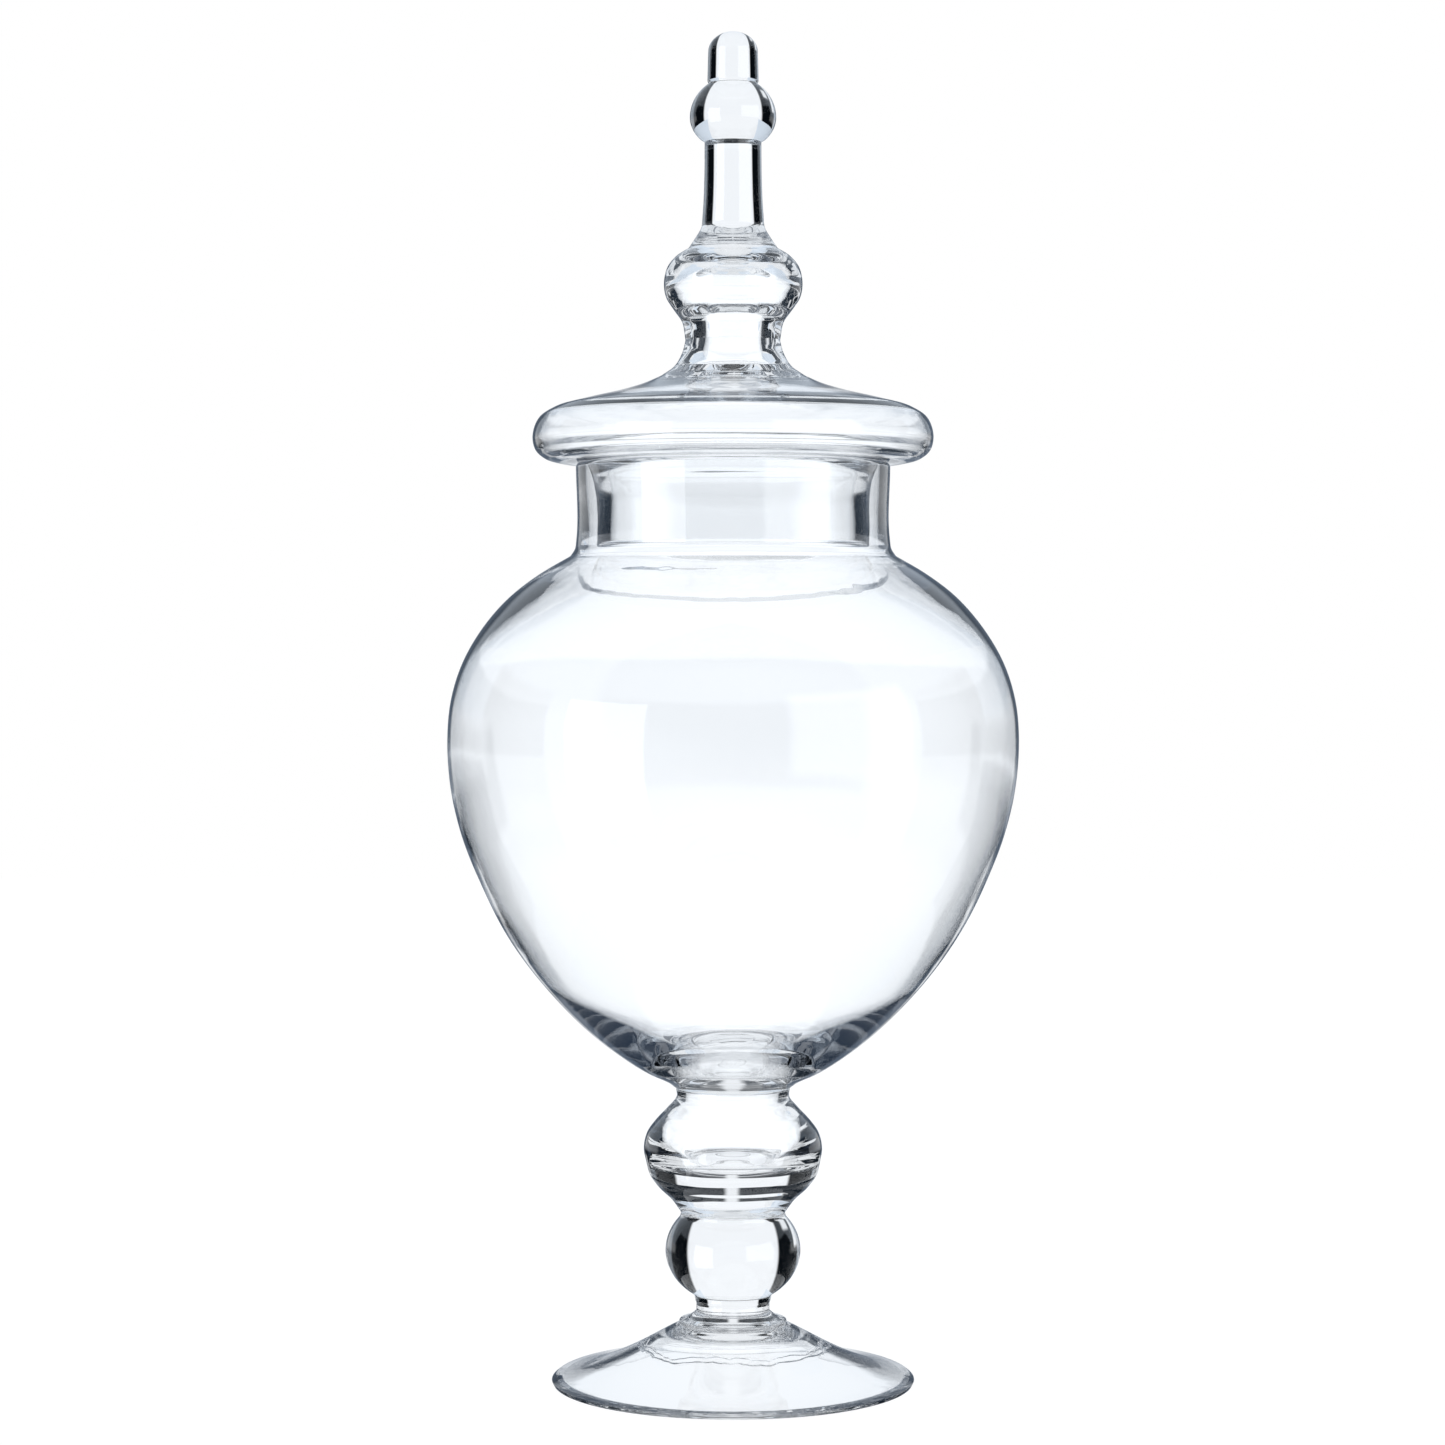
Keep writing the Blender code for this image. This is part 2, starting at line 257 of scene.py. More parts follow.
def bowl_inside():
    """Inner side of the bowl, from the root of the neck down to the middle of its floor."""
    outline = bowl_outline()
    wall = inset(outline, lambda height: blend(BOWL_WALLS, height))
    side = [point for point in reversed(wall) if point[0] > BOWL_FLOOR_RADIUS + 0.004]
    return side + smooth([side[-1], (0.0160, BOWL_FLOOR + 0.0003), (0.0, BOWL_FLOOR)])


def knop_cavity():
    """The knop's hollow, from the middle of its floor up to the bowl's base."""
    return smooth([(0.0, KNOP_CAVITY_FLOOR), (0.0150, KNOP_CAVITY_FLOOR + 0.0006),
                   (0.0240, 0.0848), (KNOP_CAVITY_RADIUS, 0.0915), (0.0256, 0.0985),
                   (0.0200, 0.1045), (KNOP_BORE_RADIUS, 0.1080), (KNOP_BORE_RADIUS, KNOP_TOP)])


def cavity_roof():
    """Underside of the bowl's base, which closes the knop's hollow."""
    return smooth([(KNOP_BORE_RADIUS, KNOP_TOP), (0.0165, BOWL_UNDERSIDE + 0.0006),
                   (0.0090, BOWL_UNDERSIDE + 0.0014), (0.0, BOWL_UNDERSIDE + 0.0016)])


# ---------------------------------------------------------------- the lid's glass, from its tip down

LID_WALL = 0.0020
LID_RIM_HEIGHT = 0.3552
LID_UNDERSIDE = MOUTH_HEIGHT + 0.0003
LID_JOIN_RADIUS = 0.0272
LID_JOIN_BORE = 0.0150
PLUG_TOP_RADIUS = 0.0545
PLUG_RADIUS = 0.0514
PLUG_WALL = 0.0050
PLUG_RIM = 0.0010
WAIST_RADIUS = 0.0178
WAIST_BORE = 0.0104
KNOB_CAVITY_RADIUS = 0.0218
FINIAL_STEM_RADIUS = 0.0108
FINIAL_JOIN_RADIUS = 0.0106
FINIAL_BALL_CENTRE = 0.4759
FINIAL_BALL_RISE = 0.0152
FINIAL_BALL_DROP = 0.0124
TIP_DOME_HEIGHT = 0.0076


def tip_outline():
    """Round-ended tip of the finial."""
    shoulder = TOTAL_HEIGHT - TIP_DOME_HEIGHT
    dome = ellipse(shoulder, TIP_RADIUS - 0.0003, TIP_DOME_HEIGHT, 90.0, 0.0)
    return dome + straight(dome[-1], (TIP_RADIUS, FINIAL_BALL_TOP))


def finial_ball_outline():
    """Ball of the finial."""
    upper = ellipse(FINIAL_BALL_CENTRE, FINIAL_BALL_RADIUS, FINIAL_BALL_RISE, 56.0, 0.0)
    lower = ellipse(FINIAL_BALL_CENTRE, FINIAL_BALL_RADIUS, FINIAL_BALL_DROP, 0.0, -42.0)
    return [(TIP_RADIUS, FINIAL_BALL_TOP), *upper[:-1], *lower,
            (FINIAL_JOIN_RADIUS, FINIAL_STEM_TOP)]


def finial_stem_outline():
    """Rod of the finial, pressed out at its foot."""
    return smooth([(FINIAL_JOIN_RADIUS, FINIAL_STEM_TOP), (FINIAL_STEM_RADIUS, 0.4520),
                   (0.0114, 0.4400), (0.0120, 0.4345), (0.0140, 0.4310), (0.0168, KNOB_TOP)])


def knob_outline():
    """Outside of the lid's hollow knob."""
    return smooth([(0.0168, KNOB_TOP), (0.0213, 0.4240), (0.0245, 0.4203), (KNOB_RADIUS, 0.4150),
                   (0.0252, 0.4085), (0.0225, 0.4042), (0.0192, 0.3995),
                   (WAIST_RADIUS, WAIST_HEIGHT)])


def waist_outline():
    """Outside of the waist between the knob and the dome."""
    return smooth([(WAIST_RADIUS, WAIST_HEIGHT), (0.0190, 0.3880), (0.0218, 0.3830),
                   (LID_JOIN_RADIUS, DOME_TOP)])


def dome_outline():
    """Down the dome, round its bulged rim, down the plug, up its bore and along the hollow."""
    upper = smooth([(LID_JOIN_RADIUS, DOME_TOP), (0.0330, 0.3764), (0.0414, 0.3737),
                    (0.0577, 0.3697), (0.0678, 0.3667), (0.0728, 0.3632), (0.0748, 0.3590),
                    (LID_RADIUS, LID_RIM_HEIGHT), (0.0740, 0.3510), (0.0705, 0.3480),
                    (0.0650, LID_UNDERSIDE)])
    seat = straight((0.0650, LID_UNDERSIDE), (PLUG_TOP_RADIUS + 0.0011, LID_UNDERSIDE))
    plug = smooth([(PLUG_TOP_RADIUS + 0.0011, LID_UNDERSIDE), (PLUG_TOP_RADIUS, 0.3450),
                   (0.0524, 0.3400), (PLUG_RADIUS, 0.3350), (PLUG_RADIUS, PLUG_BOTTOM + PLUG_RIM)])
    bore = PLUG_RADIUS - PLUG_WALL
    plug_rim = straight((PLUG_RADIUS, PLUG_BOTTOM + PLUG_RIM),
                        (PLUG_RADIUS - PLUG_RIM, PLUG_BOTTOM), (bore + PLUG_RIM, PLUG_BOTTOM),
                        (bore, PLUG_BOTTOM + PLUG_RIM))
    hollow = smooth([(bore, PLUG_BOTTOM + PLUG_RIM), (bore, 0.3370), (0.0485, 0.3440),
                     (0.0540, 0.3482), (0.0650, 0.3487), (0.0712, 0.3512),
                     (LID_RADIUS - LID_WALL, LID_RIM_HEIGHT), (0.0726, 0.3594), (0.0706, 0.3629),
                     (0.0660, 0.3654), (0.0565, 0.3679), (0.0405, 0.3718), (0.0305, 0.3745),
                     (0.0210, 0.3762), (LID_JOIN_BORE, DOME_TOP)])
    return upper + seat + plug + plug_rim + hollow


def waist_bore():
    """Bore of the waist, from the dome up."""
    return smooth([(LID_JOIN_BORE, DOME_TOP), (0.0112, 0.3860), (WAIST_BORE, WAIST_HEIGHT)])


def knob_cavity():
    """Hollow of the knob."""
    return smooth([(WAIST_BORE, WAIST_HEIGHT), (0.0118, 0.4020), (0.0185, 0.4065),
                   (KNOB_CAVITY_RADIUS, 0.4125), (0.0185, 0.4185), (0.0100, 0.4212),
                   (0.0, 0.4216)])


# ---------------------------------------------------------------- skins and pieces

# How far the surface of each piece wanders from a true turning, as hand-worked glass does
UNEVENNESS = {
    "foot": 0.00025, "foot_collar": 0.00015, "stem_neck": 0.00005, "stem_ball": 0.00005,
    "hollow_knop": 0.00035, "bowl": 0.00020, "neck": 0.00012, "lid_dome": 0.00015,
    "lid_waist": 0.00035, "lid_knob": 0.00025, "finial_stem": 0.00006, "finial_ball": 0.00004,
    "finial_tip": 0.00004,
}
UNEVEN_TURNS = 1.6
UNEVEN_LENGTH = 0.022


def polish(values, reach_samples):
    """Moving average along a skin, which rounds its corners as a flame does; its ends stay."""
    weights = np.hanning(2 * reach_samples + 3)[1:-1]
    weights /= weights.sum()
    padded = np.concatenate([2 * values[0] - values[reach_samples:0:-1], values,
                             2 * values[-1] - values[-2:-reach_samples - 2:-1]])
    return np.convolve(padded, weights, mode="valid")


def rows_needed(points, names):
    """Indexes of the samples that the shape needs: where it has turned, run on or changed piece."""
    kept = [0]
    turned = 0.0
    run = 0.0
    for i in range(1, len(points) - 1):
        before = points[i] - points[i - 1]
        after = points[i + 1] - points[i]
        run += np.linalg.norm(before)
        cross = before[0] * after[1] - before[1] * after[0]
        turned += abs(math.degrees(math.atan2(cross, before @ after)))
        if turned >= ROW_TURN or run >= ROW_LONGEST or names[i] != names[i - 1]:
            kept.append(i)
            turned = 0.0
            run = 0.0
    return kept + [len(points) - 1]


def skin(stretches):
    """Turns a run of (piece name, outline) stretches into rows of points, normals and names."""
    path = []
    names = []
    for name, outline in stretches:
        for point in outline:
            if path and math.dist(point, path[-1]) < SAMPLE_PITCH / 5:
                continue
            path.append(point)
            names.append(name)
    path = np.array(path)
    step = np.concatenate([[0.0], np.linalg.norm(np.diff(path, axis=0), axis=1)])
    along = np.cumsum(step)
    samples = np.linspace(0.0, along[-1], math.ceil(along[-1] / SAMPLE_PITCH))
    owner = [names[i] for i in np.searchsorted(along, samples - 1e-9).clip(0, len(names) - 1)]
    reach_samples = round(POLISH_REACH / SAMPLE_PITCH)
    radius = polish(np.interp(samples, along, path[:, 0]), reach_samples)
    height = polish(np.interp(samples, along, path[:, 1]), reach_samples)
    radius[0] = path[0, 0]
    radius[-1] = path[-1, 0]
    uneven = polish(np.array([UNEVENNESS[name] for name in owner]), 8 * reach_samples)
    kept = rows_needed(np.column_stack([radius, height]), owner)
    grid = turn(radius[kept], height[kept], samples[kept], uneven[kept])
    return grid, grid_normals(grid), [owner[i] for i in kept]


def turn(radius, height, along, uneven):
    """Points of a skin turned round the axis, rows by segments, slightly out of true."""
    angles = np.arange(SEGMENTS) * math.tau / SEGMENTS
    grid = np.zeros((len(radius), SEGMENTS, 3))
    for row in range(len(radius)):
        lift = along[row] / UNEVEN_LENGTH
        hold = min(1.0, radius[row] / 0.006)
        for segment, angle in enumerate(angles):
            place = Vector((UNEVEN_TURNS * math.cos(angle), UNEVEN_TURNS * math.sin(angle), lift))
            out = radius[row] + hold * uneven[row] * noise.noise(place)
            if radius[row] < 1e-6:
                out = 0.0
            grid[row, segment] = (out * math.cos(angle), out * math.sin(angle), height[row])
    return grid


def grid_normals(grid):
    """Outward unit normals of a skin, from its neighbours along and round."""
    along = np.gradient(grid, axis=0)
    round_axis = np.roll(grid, -1, axis=1) - np.roll(grid, 1, axis=1)
    normals = np.cross(round_axis, along)
    for row in (0, -1):
        if np.abs(grid[row, :, :2]).max() < 1e-6:
            inner = 1 if row == 0 else -2
            mean = np.cross(round_axis[inner], along[inner]).sum(axis=0)
            normals[row] = (0.0, 0.0, math.copysign(1.0, mean[2]))
    return normals / np.maximum(np.linalg.norm(normals, axis=2, keepdims=True), 1e-12)


def patch(grid, normals, first, last):
    """Vertices, normals and faces of the rows from first to last of a skin."""
    points = []
    directions = []
    rings = []
    for row in range(first, last + 1):
        pole = np.abs(grid[row, :, :2]).max() < 1e-6
        count = 1 if pole else SEGMENTS
        rings.append([len(points) + i for i in range(count)])
        points += [tuple(p) for p in grid[row, :count]]
        directions += [tuple(n) for n in normals[row, :count]]
    faces = []
    for lower, upper in zip(rings, rings[1:]):
        for i in range(SEGMENTS):
            j = (i + 1) % SEGMENTS
            if len(lower) == 1:
                faces.append((lower[0], upper[j], upper[i]))
            elif len(upper) == 1:
                faces.append((lower[i], lower[j], upper[0]))
            else:
                faces.append((lower[i], lower[j], upper[j], upper[i]))
    return points, directions, faces


def cut(skins):
    """Patches of each piece, gathered from all the skins that it has a share in."""
    found = {}
    for grid, normals, names in skins:
        first = 0
        for row in range(1, len(names) + 1):
            if row == len(names) or names[row] != names[first]:
                last = min(row, len(names) - 1)
                found.setdefault(names[first], []).append(patch(grid, normals, first, last))
                first = row
    return found


def add_piece(name, patches, material, body):
    """One glass piece made of its patches, which stands for the CAD node it is named after."""
    points = []
    directions = []
    faces = []
    for some_points, some_directions, some_faces in patches:
        offset = len(points)
        points += some_points
        directions += some_directions
        faces += [tuple(offset + i for i in face) for face in some_faces]
    mesh = bpy.data.meshes.new(name + "_glass")
    mesh.from_pydata(points, [], faces)
    mesh.materials.append(material)
    mesh.shade_smooth()
    mesh.normals_split_custom_set_from_vertices(directions)
    piece = bpy.data.objects.new(name + "_glass", mesh)
    bpy.context.scene.collection.objects.link(piece)
    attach(piece, body)
    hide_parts(name)
    return piece


# ---------------------------------------------------------------- shader nodes

def wire(tree, value, socket):
    """Links an output to a socket, or sets a number or a tuple on it."""
    if isinstance(value, bpy.types.NodeSocket):
        tree.links.new(value, socket)
    else:
        socket.default_value = value


def calculate(tree, operation, *values):
    """Output of a Math node."""
    node = tree.nodes.new("ShaderNodeMath")
    node.operation = operation
    for value, socket in zip(values, node.inputs):
        wire(tree, value, socket)
    return node.outputs["Value"]


def rise(tree, value, low, high):
    """0 below low, 1 above high, and smooth between them."""
    node = tree.nodes.new("ShaderNodeMapRange")
    node.interpolation_type = "SMOOTHSTEP"
    wire(tree, value, node.inputs["Value"])
    node.inputs["From Min"].default_value = low
    node.inputs["From Max"].default_value = high
    return node.outputs["Result"]


def between(tree, value, low, high, soft):
    """1 from low to high, fading to 0 over `soft` either side of each."""
    above = rise(tree, value, low - soft, low + soft)
    below = calculate(tree, "SUBTRACT", 1.0, rise(tree, value, high - soft, high + soft))
    return calculate(tree, "MULTIPLY", above, below)


def mix_colours(tree, share, first, second):
    """Colour that goes from first to second as share goes from 0 to 1."""
    node = tree.nodes.new("ShaderNodeMix")
    node.data_type = "RGBA"
    wire(tree, share, node.inputs[0])
    wire(tree, first, node.inputs[6])
    wire(tree, second, node.inputs[7])
    return node.outputs[2]


def noise_texture(tree, vector, scale, detail):
    """Strength of a noise at the places given."""
    node = tree.nodes.new("ShaderNodeTexNoise")
    node.inputs["Scale"].default_value = scale
    node.inputs["Detail"].default_value = detail
    tree.links.new(vector, node.inputs["Vector"])
    return node.outputs["Fac"]


def object_place(tree):
    """The place on the object, in its own frame."""
    return tree.nodes.new("ShaderNodeTexCoord").outputs["Object"]


def split_place(tree):
    """The three coordinates of the place on the object."""
    node = tree.nodes.new("ShaderNodeSeparateXYZ")
    tree.links.new(object_place(tree), node.inputs["Vector"])
    return node.outputs


# ---------------------------------------------------------------- glass

GLASS_IOR = 1.5
CLEAR = (0.996, 0.998, 1.0)

# Faint tint, scale of the ripples and their depth
BLOWN = ((0.984, 0.992, 0.998), 45.0, 0.00006)
SOLID = ((0.988, 0.994, 0.998), 60.0, 0.00003)


def glass(name, kind):
    """Clear glass with a faint uneven tint, ripples of its own scale and a trace of smudging."""
    tinted, ripple, ripple_depth = kind
    material = bpy.data.materials.new(name)
    material.use_nodes = True
    tree = material.node_tree
    shader = tree.nodes["Principled BSDF"]
    place = object_place(tree)
    tint = noise_texture(tree, place, 14.0, 2.0)
    wire(tree, mix_colours(tree, tint, (*CLEAR, 1.0), (*tinted, 1.0)), shader.inputs["Base Color"])
    smudge = rise(tree, noise_texture(tree, place, 55.0, 4.0), 0.45, 0.85)
    wire(tree, calculate(tree, "MULTIPLY", smudge, 0.02), shader.inputs["Roughness"])
    shader.inputs["IOR"].default_value = GLASS_IOR
    shader.inputs["Transmission Weight"].default_value = 1.0
    bump = tree.nodes.new("ShaderNodeBump")
    bump.inputs["Strength"].default_value = 1.0
    bump.inputs["Distance"].default_value = ripple_depth
    wire(tree, noise_texture(tree, place, ripple, 2.0), bump.inputs["Height"])
    wire(tree, bump.outputs["Normal"], shader.inputs["Normal"])
    return material


# The wavy thread seen in the foot: how far out it runs, how much it sways, its width and height
THREAD_RADIUS = 0.0335
THREAD_SWAY = 0.0090
THREAD_WIDTH = 0.0004
THREAD_HEIGHT = 0.00030


def thread(material):
    """A wavy thread where the foot was gathered, added to the ripples of its glass."""
    tree = material.node_tree
    x, y, _ = split_place(tree)
    squares = calculate(tree, "ADD", calculate(tree, "MULTIPLY", x, x),
                        calculate(tree, "MULTIPLY", y, y))
    radius = calculate(tree, "SQRT", squares)
    sway = noise_texture(tree, object_place(tree), 60.0, 3.0)
    swayed = calculate(tree, "MULTIPLY", calculate(tree, "SUBTRACT", sway, 0.5), THREAD_SWAY)
    away = calculate(tree, "ABSOLUTE", calculate(tree, "SUBTRACT", radius,
                                                 calculate(tree, "ADD", swayed, THREAD_RADIUS)))
    ridge = calculate(tree, "SUBTRACT", 1.0, rise(tree, away, 0.0, THREAD_WIDTH * 2))
    shader = tree.nodes["Principled BSDF"]
    bump = tree.nodes.new("ShaderNodeBump")
    bump.inputs["Strength"].default_value = 1.0
    bump.inputs["Distance"].default_value = THREAD_HEIGHT
    wire(tree, ridge, bump.inputs["Height"])
    wire(tree, shader.inputs["Normal"].links[0].from_socket, bump.inputs["Normal"])
    wire(tree, bump.outputs["Normal"], shader.inputs["Normal"])
    return material


# ---------------------------------------------------------------- studio

# Panels round the jar, each laid over the ones before it: azimuth from and to, left of straight
# behind it; elevation from and to; softness of the edges; colour; brightness; the light that sees it.
# "gloss" light glances off the glass, "wall" light is mirrored inside one wall or a solid piece,
# "hollow" light is mirrored across the hollow, "solid" light passes straight through solid glass and
# "thin" light straight through hollow glass.
BLACK = (0.45, 0.68, 1.0)
NAVY = (0.60, 0.76, 1.0)
GREY = (0.78, 0.88, 1.00)
WHITE = (0.955, 0.985, 1.02)
EVERY = ("gloss", "wall", "hollow", "solid", "thin")
PANELS = [
    ("room", -200, 200, -100, 100, 1.0, BLACK, 0.006, EVERY),
    ("ceiling", -200, 200, 22, 100, 2.0, GREY, 0.9, ("gloss", "thin")),
    ("high_ceiling", -200, 200, 45, 100, 2.0, GREY, 0.8, ("solid",)),
    ("table", -200, 200, -100, -3, 2.0, WHITE, 1.0, ("gloss", "solid", "thin")),
    ("cards", -100, 56, -60, 22, 1.5, BLACK, 0.004, ("solid", "gloss")),
    ("far_room", -200, 200, -8, 24, 4.0, GREY, 0.8, ("gloss",)),
    ("side_cards", -100, 100, -60, 22, 2.0, BLACK, 0.02, ("gloss",)),
    ("high_light", -60, 60, -3, 24, 2.0, GREY, 0.9, ("gloss",)),
    ("side_light", -64, 64, -6, 4, 3.0, WHITE, 1.05, ("gloss",)),
    ("side_walls", -110, 110, -100, 100, 3.0, WHITE, 1.0, ("thin",)),
    ("left_wall", 66, 110, -60, 30, 2.5, GREY, 0.6, ("solid",)),
    ("right_wall", -76, -57, -60, 22, 2.0, GREY, 0.25, ("solid",)),
    ("low_window", 40, 50, -31, -19, 2.0, WHITE, 0.9, ("solid",)),
    ("backdrop", -31, 31, -100, 100, 1.5, WHITE, 0.98, ("solid",)),
    ("thin_backdrop", -31, 31, -100, 100, 1.5, WHITE, 1.04, ("thin",)),
    ("low_backdrop", -31, 31, -100, -2.5, 3.0, WHITE, 1.2, ("thin",)),
    ("neck_backdrop", -31, 31, 2.0, 100, 0.8, WHITE, 1.15, ("thin",)),
    ("surround", -120, 120, -100, 100, 4.0, WHITE, 0.92, ("hollow",)),
    ("wall_surround", -120, 120, -100, 100, 4.0, WHITE, 0.92, ("wall",)),
    ("high_surround", -200, 200, 20, 100, 4.0, WHITE, 0.85, ("hollow",)),
    ("low_surround", -200, 200, -100, -20, 4.0, WHITE, 0.8, ("hollow",)),
    ("low_wall_surround", -120, 120, -100, -22, 4.0, WHITE, 0.75, ("wall",)),
    ("plug_cards", -60, 60, -4, 15, 2.0, BLACK, 0.03, ("hollow",)),
    ("stem_cards", -60, 60, -30, -5, 1.0, BLACK, 0.04, ("wall",)),
    ("neck_cards", -100, 100, -3.5, 16, 1.0, BLACK, 0.02, ("wall",)),
    ("outline_cards", -22, 22, -26, 16, 3.0, NAVY, 0.25, ("gloss", "hollow")),
    ("outline_gap", -24, 24, -14.5, -11, 1.0, WHITE, 0.85, ("gloss", "wall", "hollow")),
    ("outline_slot", -3, 3, -26, 16, 1.5, WHITE, 0.9, ("gloss", "wall", "hollow")),
    ("left_softbox", 110, 145, -30, 20, 0.6, WHITE, 3.4, ("gloss",)),
    ("right_softbox", -157, -105, -12, 26, 3.0, WHITE, 2.8, ("gloss",)),
]

# Light mirrored more often than this has gone far along inside a wall, and comes out dim and blue
GUIDED_MIRRORINGS = 7.5
GUIDED_LIGHT = (0.020, 0.036, 0.066, 1.0)
GUIDED_SHARE = 0.8


def studio():
    """White backdrop, dark cards and softboxes, all a long way off, as the light of the world."""
    world = bpy.data.worlds.new("studio")
    bpy.context.scene.world = world
    world.use_nodes = True
    tree = world.node_tree
    direction = tree.nodes.new("ShaderNodeSeparateXYZ")
    tree.links.new(tree.nodes.new("ShaderNodeTexCoord").outputs["Generated"],
                   direction.inputs["Vector"])
    x, y, z = direction.outputs
    to_degrees = 180.0 / math.pi
    left = calculate(tree, "MULTIPLY", x, -1.0)
    azimuth = calculate(tree, "MULTIPLY", calculate(tree, "ARCTAN2", left, y), to_degrees)
    elevation = calculate(tree, "MULTIPLY", calculate(tree, "ARCSINE", z), to_degrees)
    light = {seen_by: (0.0, 0.0, 0.0, 1.0) for seen_by in EVERY}
    for _, right_edge, left_edge, low, high, soft, colour, brightness, seers in PANELS:
        across = between(tree, azimuth, right_edge, left_edge, soft)
        upright = between(tree, elevation, low, high, soft)
        share = calculate(tree, "MULTIPLY", across, upright)
        lit = tuple(channel * brightness for channel in colour)
        for seen_by in seers:
            light[seen_by] = mix_colours(tree, share, light[seen_by], (*lit, 1.0))
    path = tree.nodes.new("ShaderNodeLightPath")
    crossed = path.outputs["Transmission Depth"]
    turns = path.outputs["Glossy Depth"]
    through_hollow = calculate(tree, "GREATER_THAN", crossed, 2.5)
    mirrored = calculate(tree, "GREATER_THAN", turns, 0.5)
    glanced = calculate(tree, "LESS_THAN", crossed, 0.5)
    guided = calculate(tree, "GREATER_THAN", turns, GUIDED_MIRRORINGS)
    through = mix_colours(tree, through_hollow, light["solid"], light["thin"])
    turned = mix_colours(tree, through_hollow, light["wall"], light["hollow"])
    dimmed = mix_colours(tree, GUIDED_SHARE, turned, GUIDED_LIGHT)
    within = mix_colours(tree, guided, turned, dimmed)
    inside = mix_colours(tree, mirrored, through, within)
    outside = mix_colours(tree, glanced, inside, light["gloss"])
    shown = mix_colours(tree, path.outputs["Is Camera Ray"], outside, (1.0, 1.0, 1.0, 1.0))
    wire(tree, shown, tree.nodes["Background"].inputs["Color"])


def glowing(name, colour, brightness):
    """A black material that gives off an even light."""
    material = bpy.data.materials.new(name)
    material.use_nodes = True
    shader = material.node_tree.nodes["Principled BSDF"]
    shader.inputs["Base Color"].default_value = (0.0, 0.0, 0.0, 1.0)
    shader.inputs["Emission Color"].default_value = (*colour, 1.0)
    shader.inputs["Emission Strength"].default_value = brightness
    return material


def stage_sheet(name, corners, material, unseen_by):
    """A flat staged sheet, left out of the kinds of light in unseen_by."""
    mesh = bpy.data.meshes.new(name)
    mesh.from_pydata(corners, [], [tuple(range(len(corners)))])
    mesh.materials.append(material)
    sheet = bpy.data.objects.new(name, mesh)
    bpy.context.scene.collection.objects.link(sheet)
    for kind in unseen_by:
        setattr(sheet, "visible_" + kind, False)


# The sheets and the ground are seen only by light that has come through the glass
ONLY_THROUGH_GLASS = ("camera", "glossy", "diffuse", "shadow")

# Bright sheets above the dark cards, near enough for the finial to see over the cards' tops
SHEET_AWAY = 0.62
SHEET_LOW = 0.710
SHEET_HIGH = 1.700
SHEET_FRONT = -0.30
SHEET_BACK = 1.30
SHEET_LIGHT = 0.85


def high_sheets():
    """A bright sheet hung on either side, above the cards."""
    material = glowing("bright_sheet", GREY, SHEET_LIGHT)
    for side, x in (("left", -SHEET_AWAY), ("right", SHEET_AWAY)):
        corners = [(x, SHEET_FRONT, SHEET_LOW), (x, SHEET_BACK, SHEET_LOW),
                   (x, SHEET_BACK, SHEET_HIGH), (x, SHEET_FRONT, SHEET_HIGH)]
        stage_sheet("sheet_" + side, corners, material, ONLY_THROUGH_GLASS)


GROUND_SHARE = 0.97
GROUND_DEPTH = 0.0004
GROUND_CORNERS = 96
GROUND_LIGHT = 1.0


def ground():
    """The pale ground seen through the foot, where light in the glass passes the plain floor by."""
    radius = FOOT_RADIUS * GROUND_SHARE
    angles = [2 * math.pi * corner / GROUND_CORNERS for corner in range(GROUND_CORNERS)]
    corners = [(radius * math.cos(angle), radius * math.sin(angle), -GROUND_DEPTH)
               for angle in angles]
    material = glowing("ground", WHITE, GROUND_LIGHT)
    material.node_tree.nodes["Principled BSDF"].inputs["Specular IOR Level"].default_value = 0.0
    stage_sheet("ground", corners, material, ONLY_THROUGH_GLASS)


FLOOR_HALF = 3.0
FLOOR_SHADE = 0.10
FLOOR_LIGHT = 0.95


def floor():
    """Plain pale floor that the jar stands on."""
    corners = [(x * FLOOR_HALF, y * FLOOR_HALF, 0.0)
               for x, y in ((-1, -1), (1, -1), (1, 1), (-1, 1))]
    material = glowing("floor", (1.0, 1.0, 1.0), FLOOR_LIGHT)
    shader = material.node_tree.nodes["Principled BSDF"]
    shader.inputs["Base Color"].default_value = (FLOOR_SHADE, FLOOR_SHADE, FLOOR_SHADE, 1.0)
    shader.inputs["Roughness"].default_value = 1.0
    shader.inputs["Specular IOR Level"].default_value = 0.0
    stage_sheet("floor", corners, material, ("transmission", "glossy", "diffuse"))


def camera():
    """The camera where the photographer's eye was."""
    data = bpy.data.cameras.new("camera")
    data.lens = LENS
    data.sensor_width = SENSOR
    eye = bpy.data.objects.new("camera", data)
    eye.location = (0.0, -EYE_DISTANCE, EYE_HEIGHT)
    eye.rotation_euler = Euler((math.radians(90.0 - AIM_DOWN), 0.0, math.radians(AIM_LEFT)))
    bpy.context.scene.collection.objects.link(eye)
    bpy.context.scene.camera = eye


BOUNCES = 32


def light_paths():
    """Lets light cross all the walls of the jar and the lid."""
    cycles = bpy.context.scene.cycles
    cycles.max_bounces = BOUNCES
    cycles.transmission_bounces = BOUNCES
    cycles.glossy_bounces = BOUNCES
    cycles.transparent_max_bounces = 16
    bpy.context.scene.view_settings.view_transform = "Standard"


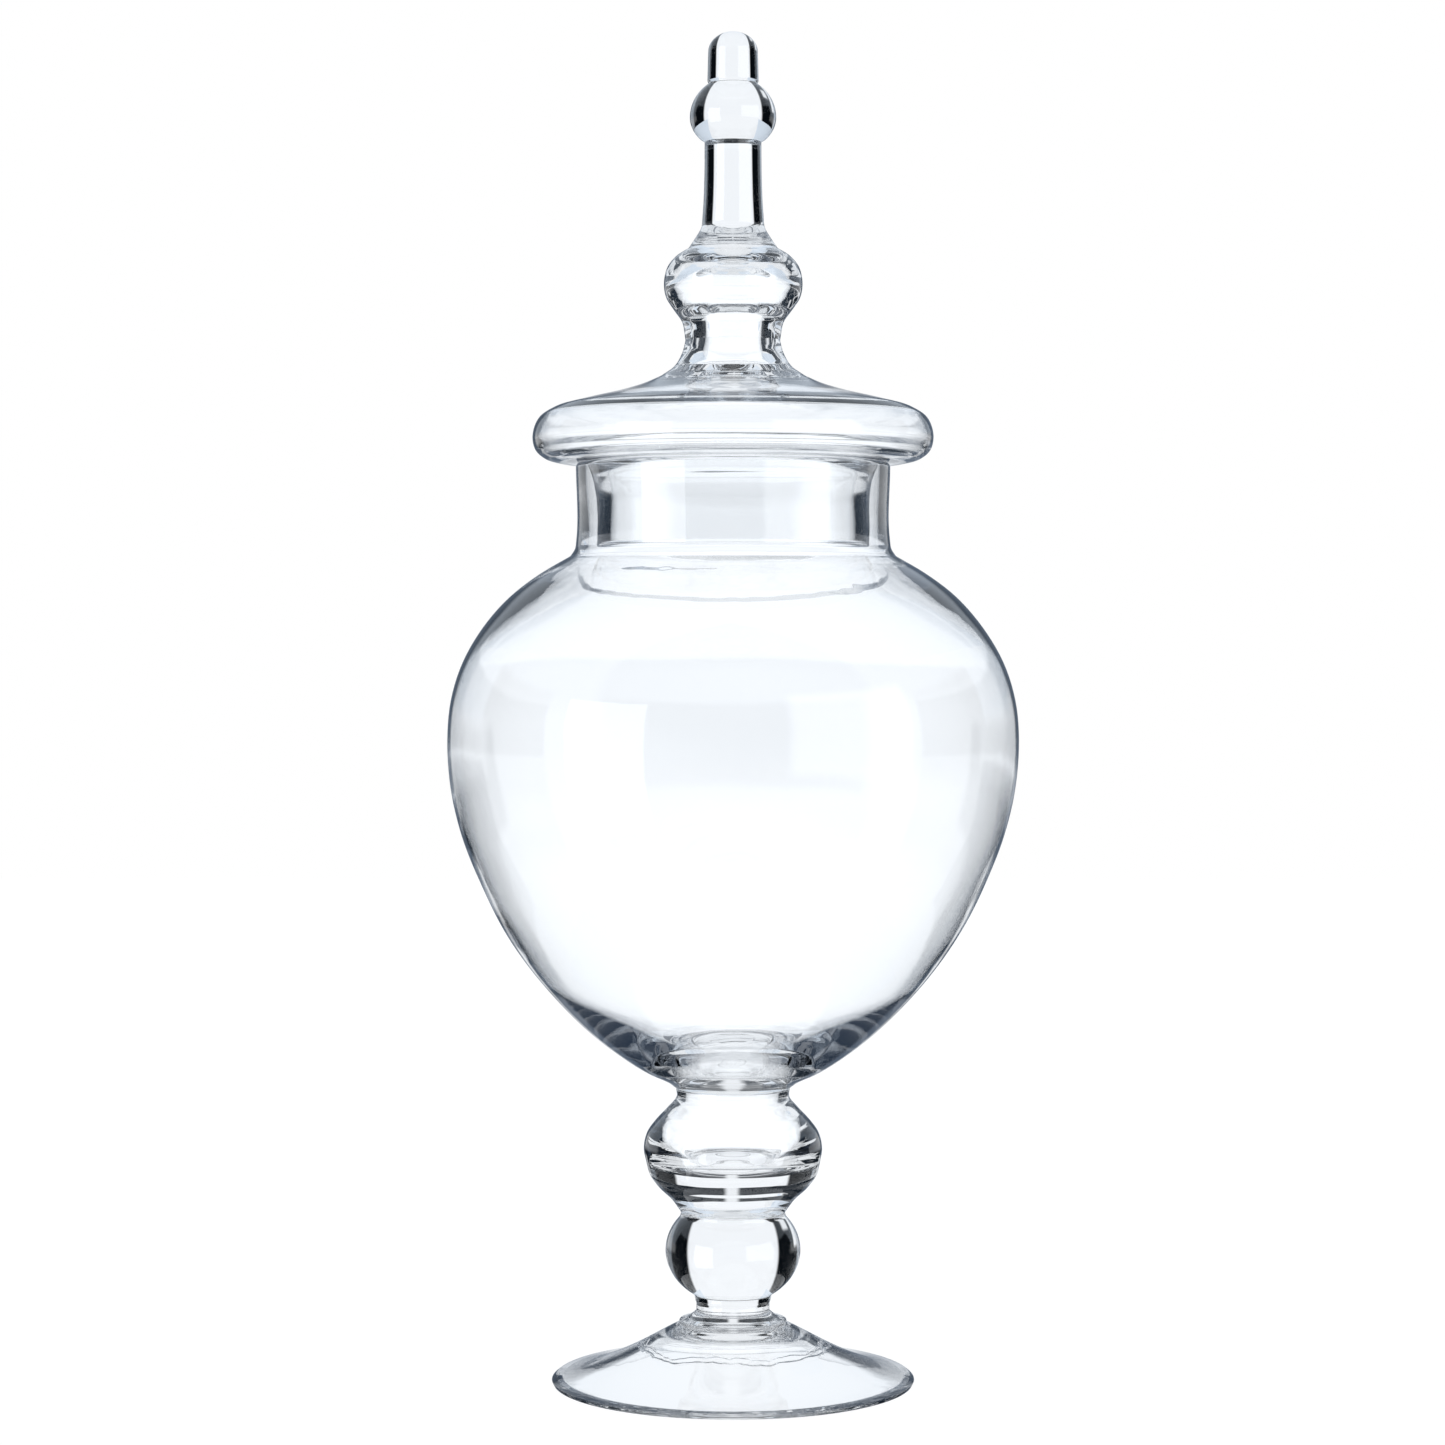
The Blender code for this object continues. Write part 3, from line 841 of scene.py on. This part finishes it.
# ---------------------------------------------------------------- the whole scene

def build():
    """Makes the glass of the jar and the lid, and gives each piece to its body."""
    blown = glass("blown_glass", BLOWN)
    spun = thread(glass("foot_glass", BLOWN))
    solid = glass("solid_glass", SOLID)
    lid = glass("lid_glass", BLOWN)
    finial = glass("finial_glass", SOLID)

    jar_skin = skin([
        ("foot", foot_outline()), ("foot_collar", collar_outline()),
        ("stem_neck", stem_neck_outline()), ("stem_ball", ball_outline()),
        ("hollow_knop", knop_outline()), ("bowl", bowl_outline()), ("neck", neck_outline()),
        ("bowl", bowl_inside()),
    ])
    knop_skin = skin([("bowl", cavity_roof()[::-1]), ("hollow_knop", knop_cavity()[::-1])])
    lid_skin = skin([
        ("finial_tip", tip_outline()), ("finial_ball", finial_ball_outline()),
        ("finial_stem", finial_stem_outline()), ("lid_knob", knob_outline()),
        ("lid_waist", waist_outline()), ("lid_dome", dome_outline()),
        ("lid_waist", waist_bore()), ("lid_knob", knob_cavity()),
    ])
    lid_skin = tuple(reversed_skin(lid_skin))

    jar_pieces = cut([jar_skin, knop_skin])
    lid_pieces = cut([lid_skin])
    finishes = {
        "foot": (spun, "blown_glass"), "foot_collar": (solid, "solid_glass"),
        "stem_neck": (solid, "solid_glass"), "stem_ball": (solid, "solid_glass"),
        "hollow_knop": (blown, "blown_glass"), "bowl": (blown, "blown_glass"),
        "neck": (blown, "blown_glass"), "lid_dome": (lid, "lid_glass"),
        "lid_waist": (lid, "lid_glass"), "lid_knob": (lid, "lid_glass"),
        "finial_stem": (finial, "finial_glass"), "finial_ball": (finial, "finial_glass"),
        "finial_tip": (finial, "finial_glass"),
    }
    for pieces, body in ((jar_pieces, "jar"), (lid_pieces, "lid")):
        for name, patches in pieces.items():
            material, slot = finishes[name]
            add_piece(name, patches, material, body)


def reversed_skin(parts):
    """A skin whose outline ran down instead of up, turned to face outwards."""
    grid, normals, names = parts
    return grid[::-1], -normals[::-1], names[::-1]


build()
studio()
high_sheets()
floor()
ground()
camera()
light_paths()
